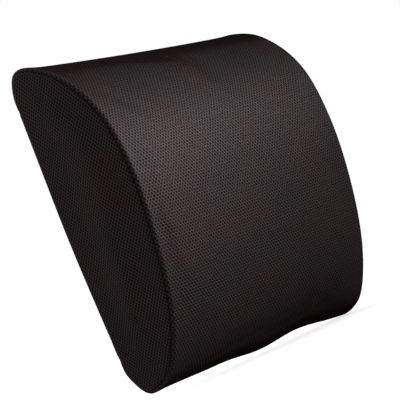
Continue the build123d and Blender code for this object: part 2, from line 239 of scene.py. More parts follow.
def even(low, high, step):
    """Evenly spaced values from low to high, about a step apart."""
    return np.linspace(low, high, max(2, int(round((high - low) / step)) + 1))


def grid_faces(rows, columns, closed=False):
    """Quads of a grid of points, row by row. A closed grid joins its last row
    to its first."""
    faces = []
    for i in range(rows if closed else rows - 1):
        for j in range(columns - 1):
            a = i * columns + j
            b = ((i + 1) % rows) * columns + j
            faces.append((a, a + 1, b + 1, b))
    return faces


def new_piece(name, points, faces, flat=None):
    """A mesh piece; flat gives each point's place on the cloth, in metres."""
    mesh = bpy.data.meshes.new(name)
    mesh.from_pydata([tuple(p) for p in points], [], faces)
    mesh.update()
    if flat is not None:
        layer = mesh.uv_layers.new(name="cloth")
        index = np.zeros(len(mesh.loops), int)
        mesh.loops.foreach_get("vertex_index", index)
        layer.data.foreach_set("uv", np.asarray(flat, np.float32)[index].ravel())
    piece = bpy.data.objects.new(name, mesh)
    bpy.context.scene.collection.objects.link(piece)
    return piece


QUARTER = EDGE_RADIUS * math.pi / 4          # cloth from the seam to the flat
CLOTH_HALF = HALF_WIDTH - EDGE_RADIUS + QUARTER


def closed_form(name, inset):
    """The whole cushion as one closed form, inset from the cover's face. Each end
    is filled with rings that close on its middle line."""
    rings = 8
    rows = even(0, side.length, FORM_STEP)[:-1]
    stations = even(-HALF_WIDTH + inset, HALF_WIDTH - inset, FORM_STEP)
    outline = side.at(rows) - inset * side.outward(rows)
    points, columns = [], len(stations)
    for y, z in outline:
        points += [(x, y, z) for x in stations]
    faces = grid_faces(len(rows), columns, closed=True)
    for end in (0, columns - 1):
        ring = [i * columns + end for i in range(len(rows))]
        last = ring
        for k in range(1, rings + 1):
            share = k / rings
            fresh = []
            for i, (y, z) in enumerate(outline):
                middle = np.array([-0.045, np.clip(z, -0.10, 0.10)])
                at = (1 - share) * np.array([y, z]) + share * middle
                fresh.append(len(points))
                points.append((stations[end], *at))
            for i in range(len(ring)):
                j = (i + 1) % len(ring)
                faces.append((last[i], last[j], fresh[j], fresh[i]))
            last = fresh
    piece = new_piece(name, soften(np.array(points)), faces)
    outwards(piece)
    return piece


SWELL_INSET = 0.004
SWELL_VOXEL = 0.0055
SWELL_PRESSURE = 4
SWELL_STIFFNESS = 40
SWELL_FRAMES = 20
SWELL_LEAST, SWELL_MOST = -0.001, 0.010
SWELL_LEVEL = 0.003         # the swelling that the side profile already holds
SWELL_SHARE = 0.3           # foam is firmer than air
SWELL_FADE = 0.018          # from a seam to where two thirds of the swelling is there


def swell():
    """Cloth filled with foam: how far the cover bulges between its seams, as
    points and the move at each."""
    sewn = closed_form("cover_fill", SWELL_INSET)
    apply_modifier(
        sewn, "REMESH", mode="VOXEL", voxel_size=SWELL_VOXEL, use_smooth_shade=True
    )
    start = np.array([v.co for v in sewn.data.vertices])
    activate(sewn)
    cloth = sewn.modifiers.new("Cloth", "CLOTH")
    cloth.settings.quality = 5
    cloth.settings.use_pressure = True
    cloth.settings.uniform_pressure_force = SWELL_PRESSURE
    cloth.settings.effector_weights.gravity = 0
    cloth.settings.tension_stiffness = SWELL_STIFFNESS
    cloth.settings.compression_stiffness = SWELL_STIFFNESS
    cloth.settings.bending_stiffness = 2
    scene = bpy.context.scene
    for n in range(1, SWELL_FRAMES + 1):
        scene.frame_set(n)
    bpy.ops.object.modifier_apply(modifier=cloth.name)
    scene.frame_set(1)
    end = np.array([v.co for v in sewn.data.vertices])
    bpy.data.objects.remove(sewn)
    return start, end - start


def swollen(points, normals, distance):
    """Points moved out by the swelling, which fades out at each seam."""
    if SWELL is None:
        return points
    moved = points.copy()
    for i, (point, normal) in enumerate(zip(points, normals)):
        found = SWELL_TREE.find_n(point, 6)
        weights = np.array([1 / (d + 0.002) for _, _, d in found])
        move = sum(w * SWELL[1][k] for w, (_, k, _) in zip(weights, found)) / weights.sum()
        out = float(np.clip(np.dot(move, normal), SWELL_LEAST, SWELL_MOST)) - SWELL_LEVEL
        moved[i] = point + normal * out * SWELL_SHARE
    fade = (1 - np.exp(-((distance / SWELL_FADE) ** 2)))[:, None]
    return points + (moved - points) * fade


SWELL = swell()
if SWELL is not None:
    SWELL_TREE = KDTree(len(SWELL[0]))
    for k, point in enumerate(SWELL[0]):
        SWELL_TREE.insert(point, k)
    SWELL_TREE.balance()


def valley(distance, depth=VALLEY_DEPTH, reach=VALLEY_REACH):
    """How far a seam draws the cloth in, by distance from it."""
    t = np.clip(1 - distance / reach, 0, 1)
    return depth * t**2.2


def corner(k):
    """Round the soft corner: (x, inset of the profile, slope of the normal), k
    metres of cloth past the flat."""
    turn = np.clip(k / EDGE_RADIUS, 0, math.pi / 2)
    x = HALF_WIDTH - EDGE_RADIUS + EDGE_RADIUS * np.sin(turn) + np.minimum(k, 0)
    inset = EDGE_RADIUS * (1 - np.cos(turn))
    return x, inset, turn


def pucker(a, pitch=SEAM_PITCH):
    """Stitches pull the seam in by turns, and the hand that sewed it varied."""
    return 0.92 + 0.08 * np.sin(2 * math.pi * a / pitch) + 0.08 * np.sin(a / 0.017 + 1.3)


def stations_across():
    """Places across the cloth, close together near both side seams."""
    near = np.array([0, 0.5, 1.0, 1.6, 2.3, 3.2, 4.4, 6.0, 8.5, 12.0]) / 1000
    middle = even(-CLOTH_HALF + 0.016, CLOTH_HALF - 0.016, 0.0042)
    return np.concatenate([near - CLOTH_HALF, middle, (CLOTH_HALF - near)[::-1]])


def wrap_panel(name, low, high, folded_low, folded_high, seams=(), step=CLOTH_STEP):
    """A panel that runs across the cushion, from low to high along the profile.
    A folded end turns round and under; the other end meets a seam."""
    rows = even(low, high, step)
    near = np.array([0.4, 0.9, 1.5, 2.2, 3.0]) / 1000
    extra = [low + near, high - near]
    for seam in seams:
        extra += [seam + near, seam - near, [seam]]
    rows = np.unique(np.concatenate([rows] + [np.atleast_1d(e) for e in extra]))
    rows = rows[(rows >= low) & (rows <= high)]
    rows = rows[np.concatenate([[True], np.diff(rows) > 1e-4])]
    drop = np.zeros(len(rows))
    if folded_low:
        drop = np.maximum(drop, fold_drop(rows - low))
    else:
        drop = np.maximum(drop, valley(rows - low))
    if folded_high:
        drop = np.maximum(drop, fold_drop(high - rows))
    else:
        drop = np.maximum(drop, valley(high - rows))
    for seam in seams:
        drop = np.maximum(drop, valley(abs(rows - seam), 0.0009, 0.0016))
    rows = list(zip(rows, drop))
    under = [(0.0, 0.0024), (0.0004, 0.0029), (0.006, 0.0029)]
    if folded_low:
        rows = [(low + u, d) for u, d in under[::-1]] + rows
    if folded_high:
        rows = rows + [(high - u, d) for u, d in under]
    across = stations_across()
    distance = CLOTH_HALF - abs(across)
    x, inset, turn = corner(abs(across) - (HALF_WIDTH - EDGE_RADIUS))
    points, normals, away, flat = [], [], [], []
    for a, d in rows:
        middle, out = side.at(a), side.outward(a)
        n = np.stack(
            [np.sign(across) * np.sin(turn), np.cos(turn) * out[0], np.cos(turn) * out[1]],
            -1,
        )
        base = np.stack(
            [np.sign(across) * x, middle[0] - inset * out[0], middle[1] - inset * out[1]],
            -1,
        )
        deep = np.maximum(valley(distance) * pucker(a), d)
        points.append(base - n * deep[:, None])
        normals.append(n)
        away.append(np.minimum(distance, max(0.0, min(a - low, high - a))))
        flat.append(np.stack([across, np.full(len(across), a)], -1))
    points = soften(np.concatenate(points))
    back = 0.15 + 0.85 * ease(-points[:, 1], 0.002, 0.030)
    moved = swollen(points, np.concatenate(normals), np.concatenate(away))
    points = points + (moved - points) * back[:, None]
    faces = grid_faces(len(rows), len(across))
    return new_piece(name, points, faces, np.concatenate(flat))


def fold_drop(distance, radius=FOLD_RADIUS):
    """How far a folded edge has turned down, by distance from it."""
    t = np.clip(1 - distance / radius, 0, 1)
    return radius * (1 - np.sqrt(1 - t**2))


def side_panel(name, sign):
    """A D-shaped side, from its seam over the soft corner to the flat, gently
    crowned."""
    rows = even(0, side.length, 0.0022)[:-1]
    near = np.array([0, 0.5, 1.0, 1.6, 2.3, 3.2, 4.4]) / 1000
    inner = even(0, 1, 0.07)[1:]
    outline, out = side.at(rows), side.outward(rows)
    points, normals, away, flat = [], [], [], []
    for t in np.append(near, QUARTER):
        turn = math.pi / 4 + t / EDGE_RADIUS
        x = HALF_WIDTH - EDGE_RADIUS + EDGE_RADIUS * math.sin(turn)
        inset = EDGE_RADIUS * (1 - math.cos(turn))
        ring = outline - inset * out
        n = np.stack(
            [
                np.full(len(rows), sign * math.sin(turn)),
                math.cos(turn) * out[:, 0],
                math.cos(turn) * out[:, 1],
            ],
            -1,
        )
        base = np.column_stack([np.full(len(rows), sign * x), ring])
        deep = valley(t) * pucker(rows)
        points.append(base - n * deep[:, None])
        normals.append(n)
        away.append(np.full(len(rows), t))
        flat.append(outline + (QUARTER - t - EDGE_RADIUS) * out)
    ring = outline - EDGE_RADIUS * out
    pairs = 0.0025              # points from both sides meet on this spacing
    height = pairs * np.round(np.clip(ring[:, 1], -0.095, 0.095) / pairs)
    middle = np.column_stack([np.full(len(rows), -0.044), height])
    for share in inner:
        at = (1 - share) * ring + share * middle
        reach = np.hypot(*(at - ring).T)
        crown = 0.0016 * ease(reach, 0, 0.035)
        points.append(np.column_stack([sign * (HALF_WIDTH + crown), at]))
        normals.append(np.tile([sign, 0.0, 0.0], (len(rows), 1)))
        away.append(QUARTER + reach)
        flat.append(at)
    columns = len(rows)
    faces = []
    for i in range(len(points) - 1):
        for j in range(columns):
            k = (j + 1) % columns
            near_ring, far_ring = i * columns, (i + 1) * columns
            faces.append((near_ring + j, near_ring + k, far_ring + k, far_ring + j))
    points = soften(np.concatenate(points))
    points = swollen(points, np.concatenate(normals), np.concatenate(away))
    piece = new_piece(name, points, faces, np.concatenate(flat))
    mesh = bmesh.new()
    mesh.from_mesh(piece.data)
    bmesh.ops.remove_doubles(mesh, verts=mesh.verts, dist=2e-5)
    bmesh.ops.dissolve_degenerate(mesh, edges=mesh.edges, dist=1e-6)
    mesh.to_mesh(piece.data)
    mesh.free()
    return piece


def face_outwards(piece, inside=(0, -0.045, 0)):
    """Turn an open panel's faces away from the middle of the foam."""
    mesh = bmesh.new()
    mesh.from_mesh(piece.data)
    bmesh.ops.recalc_face_normals(mesh, faces=mesh.faces)
    middle = Vector(inside)
    outward = sum(
        f.normal.dot(f.calc_center_median() - middle) * f.calc_area() for f in mesh.faces
    )
    if outward < 0:
        bmesh.ops.reverse_faces(mesh, faces=mesh.faces)
    mesh.to_mesh(piece.data)
    mesh.free()


def thicken(piece):
    """Give the cloth its thickness, on the inner side."""
    face_outwards(piece)
    apply_modifier(piece, "SOLIDIFY", thickness=CLOTH_THICKNESS, offset=-1, use_rim=True)
    activate(piece)
    bpy.ops.object.shade_smooth()


# ---- Materials -----------------------------------------------------------
def linear(code):
    """A colour from its sRGB hex value."""
    parts = np.array([int(code[i : i + 2], 16) / 255 for i in (1, 3, 5)])
    low, high = parts / 12.92, ((parts + 0.055) / 1.055) ** 2.4
    return [float(c) for c in np.where(parts <= 0.04045, low, high)] + [1]


def material(name):
    """A new material with only its shader and output."""
    made = bpy.data.materials.new(name)
    made.use_nodes = True
    return made, made.node_tree.nodes["Principled BSDF"]


def add(made, kind, links=(), **settings):
    """Add a node to a material or the world. Settings name its properties, inputs
    its values by socket, and links are (its socket, another's output) pairs."""
    new = made.node_tree.nodes.new(kind)
    values = settings.pop("inputs", {})
    for key, value in settings.items():
        setattr(new, key, value)
    for key, value in values.items():
        new.inputs[key].default_value = value
    for key, output in links:
        made.node_tree.links.new(output, new.inputs[key])
    return new


def link(made, output, target):
    """Link a node's output to a socket."""
    made.node_tree.links.new(output, target)


def coat(piece, made):
    """Give a piece, or a CAD node, its material."""
    piece.data.materials.clear()
    piece.data.materials.append(made)
    return piece


def air_mesh(name, pitch, row, hole, strand="#221a1b", deep="#0c0909"):
    """Polyester air mesh, warp-knitted: a dark cloth of fine smooth yarn with
    round holes in staggered rows. The yarn gives a soft broad highlight, which
    fades at low angles where its round threads turn away. Inside the holes the
    colour is darker: partly the black liner seen through them, and partly
    painted shade for the recess. Pitch, row and hole are in millimetres."""
    made, shader = material(name)
    place = add(made, "ShaderNodeUVMap", uv_map="cloth")
    wander = add(
        made, "ShaderNodeTexNoise",
        [("Vector", place.outputs[0])],
        inputs={"Scale": 90, "Detail": 2},
    )
    off = add(made, "ShaderNodeVectorMath", [(0, wander.outputs["Color"])],
              operation="SUBTRACT", inputs={1: (0.5, 0.5, 0.5)})
    shift = add(made, "ShaderNodeVectorMath", [(0, off.outputs[0])],
                operation="SCALE", inputs={"Scale": 0.0012})
    moved = add(made, "ShaderNodeVectorMath",
                [(0, place.outputs[0]), (1, shift.outputs[0])], operation="ADD")
    cells = add(made, "ShaderNodeVectorMath", [(0, moved.outputs[0])],
                operation="MULTIPLY", inputs={1: (1000 / pitch, 500 / row, 0)})
    ways = []
    for start in ((0, 0, 0), (0.5, 0.5, 0)):
        begun = add(made, "ShaderNodeVectorMath", [(0, cells.outputs[0])],
                    operation="ADD", inputs={1: start})
        wrapped = add(made, "ShaderNodeVectorMath", [(0, begun.outputs[0])],
                      operation="WRAP", inputs={1: (0.5, 0.5, 0.5), 2: (-0.5, -0.5, -0.5)})
        sized = add(made, "ShaderNodeVectorMath", [(0, wrapped.outputs[0])],
                    operation="MULTIPLY", inputs={1: (pitch, 2 * row, 0)})
        ways.append(add(made, "ShaderNodeVectorMath", [(0, sized.outputs[0])],
                        operation="LENGTH"))
    nearest = add(made, "ShaderNodeMath",
                  [(0, ways[0].outputs["Value"]), (1, ways[1].outputs["Value"])],
                  operation="MINIMUM")
    opened = add(made, "ShaderNodeMapRange", [("Value", nearest.outputs[0])],
                 interpolation_type="SMOOTHSTEP",
                 inputs={"From Min": hole * 0.32, "From Max": hole * 0.68,
                         "To Min": 0, "To Max": 1})
    yarn = add(made, "ShaderNodeTexNoise", [("Vector", place.outputs[0])],
               inputs={"Scale": 1400, "Detail": 2})
    patches = add(made, "ShaderNodeTexNoise", [("Vector", place.outputs[0])],
                  inputs={"Scale": 14, "Detail": 3})
    # Painted shade: the holes take the deep colour, standing in for the shade in each
    # recess over the black liner seen through it.
    tone = add(made, "ShaderNodeMixRGB",
               [("Fac", opened.outputs[0])], blend_type="MIX",
               inputs={"Color1": linear(deep), "Color2": linear(strand)})
    vary = add(made, "ShaderNodeMapRange", [("Value", patches.outputs["Fac"])],
               inputs={"From Min": 0.35, "From Max": 0.65, "To Min": 0, "To Max": 1})
    dyed = add(made, "ShaderNodeMixRGB", [("Fac", vary.outputs[0])], blend_type="MIX",
               inputs={"Color1": (0.78, 0.94, 1.02, 1), "Color2": (1.2, 0.98, 0.98, 1)})
    varied = add(made, "ShaderNodeMixRGB",
                 [("Color1", tone.outputs[0]), ("Color2", dyed.outputs[0])],
                 blend_type="MULTIPLY", inputs={"Fac": 1})
    link(made, varied.outputs[0], shader.inputs["Base Color"])
    fuzz = add(made, "ShaderNodeMath", [(0, yarn.outputs["Fac"])],
               operation="MULTIPLY", inputs={1: 0.25})
    height = add(made, "ShaderNodeMath",
                 [(0, opened.outputs[0]), (1, fuzz.outputs[0])], operation="ADD")
    bump = add(made, "ShaderNodeBump", [("Height", height.outputs[0])],
               inputs={"Strength": 0.7, "Distance": 0.0006})
    link(made, bump.outputs[0], shader.inputs["Normal"])
    facing = add(made, "ShaderNodeLayerWeight", inputs={"Blend": 0.5})
    gloss = add(made, "ShaderNodeMapRange", [("Value", facing.outputs["Facing"])],
                interpolation_type="SMOOTHSTEP",
                inputs={"From Min": 0.3, "From Max": 0.72, "To Min": 0.13, "To Max": 0})
    seen_yarn = add(made, "ShaderNodeMath", [(0, opened.outputs[0])],
                    operation="MULTIPLY_ADD", inputs={1: 0.7, 2: 0.3})
    yarn_gloss = add(made, "ShaderNodeMath",
                     [(0, gloss.outputs[0]), (1, seen_yarn.outputs[0])],
                     operation="MULTIPLY")
    # The plain value stands in wherever the link is not carried over.
    shader.inputs["Specular IOR Level"].default_value = 0.1
    link(made, yarn_gloss.outputs[0], shader.inputs["Specular IOR Level"])
    shader.inputs["Roughness"].default_value = 0.58
    shader.inputs["Specular Tint"].default_value = (1.0, 0.72, 0.78, 1.0)
    return made


def moulded(name, colour, roughness, grain):
    """A moulded, drawn or lacquered surface: one colour that varies a little,
    with a fine grain. Grain is its spacing in millimetres."""
    made, shader = material(name)
    place = add(made, "ShaderNodeTexCoord")
    fine = add(made, "ShaderNodeTexNoise", [("Vector", place.outputs["Object"])],
               inputs={"Scale": 1000 / grain, "Detail": 3})
    rubbed = add(made, "ShaderNodeTexNoise", [("Vector", place.outputs["Object"])],
                 inputs={"Scale": 120, "Detail": 4})
    vary = add(made, "ShaderNodeMapRange", [("Value", rubbed.outputs["Fac"])],
               inputs={"From Min": 0.35, "From Max": 0.65, "To Min": 0.85, "To Max": 1.2})
    tone = add(made, "ShaderNodeMixRGB", [("Color2", vary.outputs[0])],
               blend_type="MULTIPLY", inputs={"Fac": 1, "Color1": linear(colour)})
    link(made, tone.outputs[0], shader.inputs["Base Color"])
    rough = add(made, "ShaderNodeMapRange", [("Value", rubbed.outputs["Fac"])],
                inputs={"From Min": 0.3, "From Max": 0.7,
                        "To Min": roughness - 0.06, "To Max": roughness + 0.08})
    link(made, rough.outputs[0], shader.inputs["Roughness"])
    bump = add(made, "ShaderNodeBump", [("Height", fine.outputs["Fac"])],
               inputs={"Strength": 0.35, "Distance": 0.0001})
    link(made, bump.outputs[0], shader.inputs["Normal"])
    return made


def woven(name, colour, across, along, rib_shade_contrast=0.45):
    """Webbing, tape, knit or laid thread: ribs along its length with cross
    threads. Across and along are thread spacings in millimetres, on (x, z)."""
    made, shader = material(name)
    place = add(made, "ShaderNodeTexCoord")
    split = add(made, "ShaderNodeSeparateXYZ", [(0, place.outputs["Object"])])
    waves = []
    for output, spacing in ((split.outputs["X"], along), (split.outputs["Z"], across)):
        turned = add(made, "ShaderNodeMath", [(0, output)], operation="MULTIPLY",
                     inputs={1: 2 * math.pi * 1000 / spacing})
        waves.append(
            add(made, "ShaderNodeMath", [(0, turned.outputs[0])], operation="SINE")
        )
    crossed = add(made, "ShaderNodeMath",
                  [(0, waves[0].outputs[0]), (1, waves[1].outputs[0])],
                  operation="MULTIPLY")
    ribs = add(made, "ShaderNodeMath", [(0, waves[1].outputs[0]), (1, crossed.outputs[0])],
               operation="ADD")
    # Painted shade and painted light: the colour follows the ribs' height, darker in the
    # grooves and lighter on the tops.
    level = add(made, "ShaderNodeMapRange", [("Value", ribs.outputs[0])],
                inputs={"From Min": -2, "From Max": 2,
                        "To Min": 1 - rib_shade_contrast, "To Max": 1 + rib_shade_contrast})
    tone = add(made, "ShaderNodeMixRGB", [("Color2", level.outputs[0])],
               blend_type="MULTIPLY", inputs={"Fac": 1, "Color1": linear(colour)})
    link(made, tone.outputs[0], shader.inputs["Base Color"])
    bump = add(made, "ShaderNodeBump", [("Height", ribs.outputs[0])],
               inputs={"Strength": 0.6, "Distance": 0.0002})
    link(made, bump.outputs[0], shader.inputs["Normal"])
    shader.inputs["Roughness"].default_value = 0.7
    shader.inputs["Sheen Weight"].default_value = 0.15
    return made


# Warp-knitted polyester, piece-dyed black: a little warm, with a soft highlight.
cover_cloth = air_mesh("black_polyester_air_mesh", 4.2, 2.8, 2.2)
# The same cloth on the sides, not stretched over the bulge: a closer pattern.
# Its strand colour is painted light: lighter than the front's, since the lamps light the
# sides less.
side_cloth_painted_lighter = air_mesh(
    "black_polyester_air_mesh_side_painted_light", 3.6, 2.3, 2.2, strand="#282122"
)
# Drawn nylon: smooth, with small bright highlights along each loop.
nylon_coil = moulded("black_nylon_monofilament", "#26262a", 0.4, 0.5)
# Die-cast zinc under black lacquer: the glossiest of the hard parts.
lacquered_zinc = moulded("black_lacquered_zinc", "#1d1d20", 0.32, 0.4)
# Injection-moulded acetal: an even, slightly waxy black.
moulded_acetal = moulded("black_moulded_acetal", "#242427", 0.5, 0.35)
# Woven rubber-core elastic: matt, with ribs along it.
elastic_webbing = woven("black_woven_elastic", "#2b2829", 1.9, 1.3)
# Woven polyester tape: matt and fine.
zipper_tape_cloth = woven("black_woven_polyester_tape", "#252325", 1.1, 0.9)
# Bonded polyester thread: its own black, darkened past the cloth's as painted
# shade, so that the seams read as soft creases.
bonded_thread = woven("black_bonded_polyester_thread", "#171516", 0.5, 0.5)
# Poured slow-recovery foam: pale and dull, with a fine open skin.
foam_skin = moulded("cream_slow_recovery_foam", "#efe8d2", 0.9, 1.2)
# Knitted polyester jersey: flat black with barely visible ribs.
jersey = woven("black_jersey_knit", "#26262a", 1.2, 1.0, 0.15)

# ---- The cover -----------------------------------------------------------
lower_seam = side.back_at(SEAM_BOTTOM_Z)
zipper_low = side.back_at(ZIPPER_LOWER_Z)
zipper_high = side.back_at(ZIPPER_UPPER_Z)

panels = [
    ("cover_front_panel", cover_cloth,
     wrap_panel("cover_front", 0, lower_seam, False, False)),
    ("cover_lower_strip", cover_cloth,
     wrap_panel("cover_lower", lower_seam, zipper_low, False, True,
                [zipper_low - TOPSTITCH_INSET], 0.0015)),
    ("cover_back_panel", cover_cloth,
     wrap_panel("cover_back", zipper_high, side.length, True, False,
                [zipper_high + TOPSTITCH_INSET])),
    ("cover_left_panel", side_cloth_painted_lighter, side_panel("cover_left", -1)),
    ("cover_right_panel", side_cloth_painted_lighter, side_panel("cover_right", 1)),
]
for node, cloth, piece in panels:
    thicken(piece)
    coat(piece, cloth)
    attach(piece, "cushion")
    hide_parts(node)


def filling(name, inset, thickness, made, replaced):
    """A closed form inside the cover, with rounded edges; a thickness makes it a
    sleeve."""
    piece = closed_form(name, inset)
    apply_modifier(piece, "BEVEL", width=0.004, segments=2,
                   limit_method="ANGLE", angle_limit=math.radians(60))
    if thickness:
        apply_modifier(piece, "SOLIDIFY", thickness=thickness, offset=-1)
    smooth(piece, 50)
    coat(piece, made)
    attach(piece, "cushion")
    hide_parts(replaced)
    return piece


foam = filling("foam_block", FOAM_INSET, 0, foam_skin, "foam_core")
filling("foam_sleeve", LINER_INSET, 0.0005, jersey, "inner_liner")

# ---- Threads ---------------------------------------------------------------
THREAD_RADIUS = 0.00032
SEAM_THREAD = 0.7           # thinner than the topstitching


def model_stitch():
    """One stitch of thread, 2.8 mm long, whose ends dive into the cloth:
    points and faces, along X with its top at +Z."""
    deselect()
    bpy.ops.mesh.primitive_uv_sphere_add(segments=8, ring_count=6, radius=THREAD_RADIUS)
    stitch = bpy.context.object
    bpy.ops.object.mode_set(mode="EDIT")
    for sign in (-1, 1):
        bpy.ops.mesh.select_all(action="DESELECT")
        bpy.ops.object.mode_set(mode="OBJECT")
        for vertex in stitch.data.vertices:
            vertex.select = sign * vertex.co.x > 1e-5
        bpy.ops.object.mode_set(mode="EDIT")
        bpy.ops.transform.translate(value=(sign * 0.0007, 0, 0))
        bpy.ops.object.mode_set(mode="OBJECT")
        for vertex in stitch.data.vertices:
            vertex.select = sign * vertex.co.x > 0.00085
        bpy.ops.object.mode_set(mode="EDIT")
        bpy.ops.transform.translate(value=(sign * 0.0004, 0, -0.00035))
    bpy.ops.object.mode_set(mode="OBJECT")
    points = np.array([v.co for v in stitch.data.vertices])
    faces = [tuple(f.vertices) for f in stitch.data.polygons]
    bpy.data.objects.remove(stitch)
    return points, faces


STITCH_POINTS, STITCH_FACES = model_stitch()


def sew(name, places, replaced, body, size=1.0):
    """Rows of stitches as one piece: each place is (point, run, up)."""
    points, faces = [], []
    for point, run, up in places:
        run = Vector(run).normalized()
        across = Vector(up).cross(run).normalized()
        turn = np.array([run, across, run.cross(across)])
        first = len(points) * len(STITCH_POINTS)
        points.append(np.array(point) + size * STITCH_POINTS @ turn)
        faces += [tuple(first + i for i in f) for f in STITCH_FACES]
    piece = new_piece(name, np.concatenate(points), faces)
    activate(piece)
    bpy.ops.object.shade_smooth()
    coat(piece, bonded_thread)
    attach(piece, body)
    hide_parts(replaced)
    return piece


def seam_places(sign, pitch=SEAM_PITCH):
    """Along the bottom of a side seam's valley."""
    found = []
    half_turn = math.pi / 4
    for a in even(0, side.length, pitch)[:-1]:
        middle, out = side.at(a), side.outward(a)
        n = np.array([sign * math.sin(half_turn), *(math.cos(half_turn) * out)])
        x = sign * (HALF_WIDTH - EDGE_RADIUS + EDGE_RADIUS * math.sin(half_turn))
        inset = EDGE_RADIUS * (1 - math.cos(half_turn))
        base = np.array([x, *(middle - inset * out)])
        sunk = base - n * (VALLEY_DEPTH * pucker(a) + 0.0001)
        ahead = np.array([0, out[1], -out[0]])
        at, beyond = soften(np.array([sunk, sunk - 0.001 * ahead]))
        found.append((at, beyond - at, n))
    return found


def across_places(z, sunk, pitch, half):
    """Along a straight row across the back."""
    return [((x, -sunk, z), (1, 0, 0), (0, 1, 0)) for x in even(-half, half, pitch)]


sew("left_seam_stitches", seam_places(-1), "left_seam_thread", "cushion",
    SEAM_THREAD)
sew("right_seam_stitches", seam_places(1), "right_seam_thread", "cushion",
    SEAM_THREAD)
ROW_HALF = 0.1575
sew(
    "back_seam_stitches",
    across_places(SEAM_TOP_Z, VALLEY_DEPTH - 0.0001, SEAM_PITCH, ROW_HALF)
    + across_places(SEAM_BOTTOM_Z, VALLEY_DEPTH - 0.0001, SEAM_PITCH, ROW_HALF),
    "back_seam_threads",
    "cushion",
)
sew(
    "zipper_edge_stitches",
    across_places(ZIPPER_UPPER_Z + TOPSTITCH_INSET, 0.0006, TOPSTITCH_PITCH, ROW_HALF)
    + across_places(ZIPPER_LOWER_Z - TOPSTITCH_INSET, 0.0006, TOPSTITCH_PITCH, ROW_HALF),
    "zipper_topstitching",
    "cushion",
)


def box_places(sign):
    """A sewn box with its cross, on the outer face of a strap's return."""
    inner, outer, half = 0.0424, 0.0544, 0.0095
    face = RETURN_Y + STRAP_THICKNESS / 2 + 0.0001
    corners = [(inner, -half), (outer, -half), (outer, half), (inner, half)]
    runs = [(corners[i], corners[(i + 1) % 4]) for i in range(4)]
    runs += [(corners[0], corners[2]), (corners[1], corners[3])]
    found = []
    for start, end in runs:
        start, end = np.array(start), np.array(end)
        run = end - start
        count = max(3, round(np.hypot(*run) / STRAP_STITCH_PITCH))
        for k in range(count):
            x, z = start + run * (k + 0.5) / count
            found.append(((sign * x, face, z), (sign * run[0], 0, run[1]), (0, 1, 0)))
    return found


sew("left_strap_stitches", box_places(-1), "strap_stitching_left", "cushion", 0.8)
sew("right_strap_stitches", box_places(1), "strap_stitching_right", "buckle_plug", 0.8)


# ---- Zipper ----------------------------------------------------------------
COIL_HALF = 0.1374
COIL_PITCH = 0.0015


def coil(name, sign, replaced):
    """One side of the nylon coil: a loop modelled once and repeated along the
    tape, half a pitch on from the other side's loops."""
    deselect()
    bpy.ops.mesh.primitive_torus_add(
        major_segments=14,
        minor_segments=6,
        major_radius=0.00112,
        minor_radius=0.00036,
        rotation=(0, math.pi / 2, 0),
    )
    loop = settle(bpy.context.object)
    loop.name = name
    bpy.ops.object.mode_set(mode="EDIT")
    bpy.ops.mesh.select_all(action="SELECT")
    bpy.ops.transform.resize(value=(1, 0.70, 1.12))
    bpy.ops.object.mode_set(mode="OBJECT")
    for vertex in loop.data.vertices:
        vertex.select = sign * vertex.co.z < -0.0006
    bpy.ops.object.mode_set(mode="EDIT")
    # the head that locks
    bpy.ops.transform.translate(value=(0, 0.0001, -sign * 0.0004))
    bpy.ops.transform.resize(value=(1.25, 1, 1))
    bpy.ops.object.mode_set(mode="OBJECT")
    start = -COIL_HALF + 0.0006 + (0 if sign > 0 else COIL_PITCH / 2)
    loop.data.transform(
        Matrix.Translation((start, -0.003 + 0.0011, ZIPPER_Z + sign * 0.00135))
    )
    count = int((COIL_HALF * 2 - 0.0016) / COIL_PITCH)
    apply_modifier(
        loop,
        "ARRAY",
        count=count,
        use_relative_offset=False,
        use_constant_offset=True,
        constant_offset_displace=(COIL_PITCH, 0, 0),
    )
    activate(loop)
    bpy.ops.object.shade_smooth()
    coat(loop, nylon_coil)
    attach(loop, "cushion")
    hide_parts(replaced)
    return loop


coil("zipper_coil_loops_upper", 1, "zipper_coil_upper")
coil("zipper_coil_loops_lower", -1, "zipper_coil_lower")

# ---- Strap -----------------------------------------------------------------
# Middle of the elastic, seen from above (x, y): out of the seam's valley, over
# the back's edge, bowed off the back, round the buckle's bar and back.
STRAP_ROUTE = [
    (0.1585, -0.0140), (0.1588, -0.0070), (0.1590, -0.0025), (0.1580, 0.0004),
    (0.1545, 0.0024), (0.1480, 0.0068), (0.1390, 0.0124), (0.1280, 0.0161),
    (0.1120, 0.0184), (0.0950, STRAP_Y), (0.0700, STRAP_Y), (0.0480, STRAP_Y),
    (0.0380, STRAP_Y), (0.0320, 0.0178), (0.0261, 0.0178), (0.0261, 0.0237),
    (0.0320, 0.0237), (0.0380, RETURN_Y), (0.0440, RETURN_Y), (0.0550, RETURN_Y),
]


def strap(name, sign):
    """Half of the elastic strap, from its seam to the buckle's bar and back."""
    curve = bpy.data.curves.new(name, "CURVE")
    curve.dimensions = "2D"
    curve.fill_mode = "NONE"
    spline = curve.splines.new("NURBS")
    spline.points.add(len(STRAP_ROUTE) - 1)
    for point, (x, y) in zip(spline.points, STRAP_ROUTE):
        point.co = (sign * x, y, 0, 1)
    spline.order_u = 3
    spline.use_endpoint_u = True
    spline.resolution_u = 8
    curve.extrude = STRAP_HALF_WIDTH
    made = bpy.data.objects.new(name, curve)
    bpy.context.scene.collection.objects.link(made)
    activate(made)
    bpy.ops.object.convert(target="MESH")
    made = bpy.context.object
    apply_modifier(
        made, "SOLIDIFY", thickness=STRAP_THICKNESS, offset=0, use_even_offset=True
    )
    apply_modifier(
        made,
        "BEVEL",
        width=0.0004,
        segments=2,
        limit_method="ANGLE",
        angle_limit=math.radians(60),
    )
    outwards(made)
    smooth(made, 50)
    coat(made, elastic_webbing)
    return made


strap_left = strap("elastic_left", -1)
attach(strap_left, "cushion")
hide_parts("strap_left")
strap_right = strap("elastic_right", 1)
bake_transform(strap_right)
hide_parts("strap_right")

